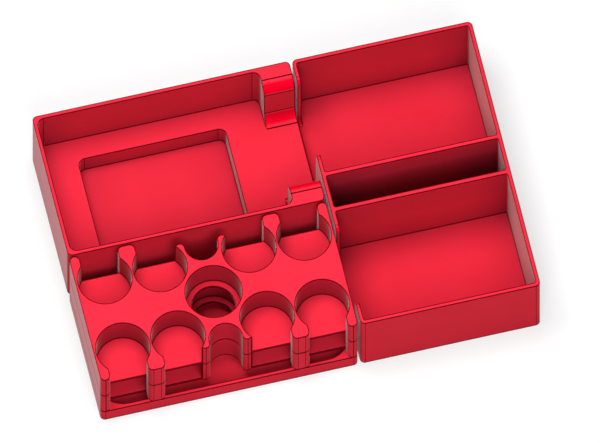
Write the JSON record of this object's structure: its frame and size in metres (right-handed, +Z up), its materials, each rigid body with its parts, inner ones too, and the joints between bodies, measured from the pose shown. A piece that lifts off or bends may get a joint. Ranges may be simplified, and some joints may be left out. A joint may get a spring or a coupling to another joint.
{
  "type": "board game organizer insert",
  "caption": "Rectangular set of open plastic trays: a card bay tray, a ledged card tray and a stack of token trays with round pockets, each lifting out on its own.",
  "frame": {"origin": "middle of the rectangular footprint, at table level", "axes": "+X to the right towards the bay tray, +Y to the back towards the card tray, +Z up"},
  "size_m": [0.2374, 0.1564, 0.05],
  "materials": {
    "printed_plastic": "plain red plastic, satin"
  },
  "bodies": {
    "bay_tray": {"bay_tray": "printed_plastic"},
    "card_tray": {"card_tray": "printed_plastic"},
    "token_base": {"token_base": "printed_plastic"},
    "lower_token_tray": {"lower_token_tray": "printed_plastic"},
    "upper_token_tray": {"upper_token_tray": "printed_plastic"}
  },
  "joints": [
    {"name": "card_tray_lift", "type": "slide", "parent": "bay_tray", "child": "card_tray", "axis": [0, 0, 1], "range_m": [0, 0.055]},
    {"name": "token_base_lift", "type": "slide", "parent": "bay_tray", "child": "token_base", "axis": [0, 0, 1], "range_m": [0, 0.055]},
    {"name": "lower_token_tray_lift", "type": "slide", "parent": "token_base", "child": "lower_token_tray", "axis": [0, 0, 1], "range_m": [0, 0.045]},
    {"name": "upper_token_tray_lift", "type": "slide", "parent": "lower_token_tray", "child": "upper_token_tray", "axis": [0, 0, 1], "range_m": [0, 0.025]}
  ]
}
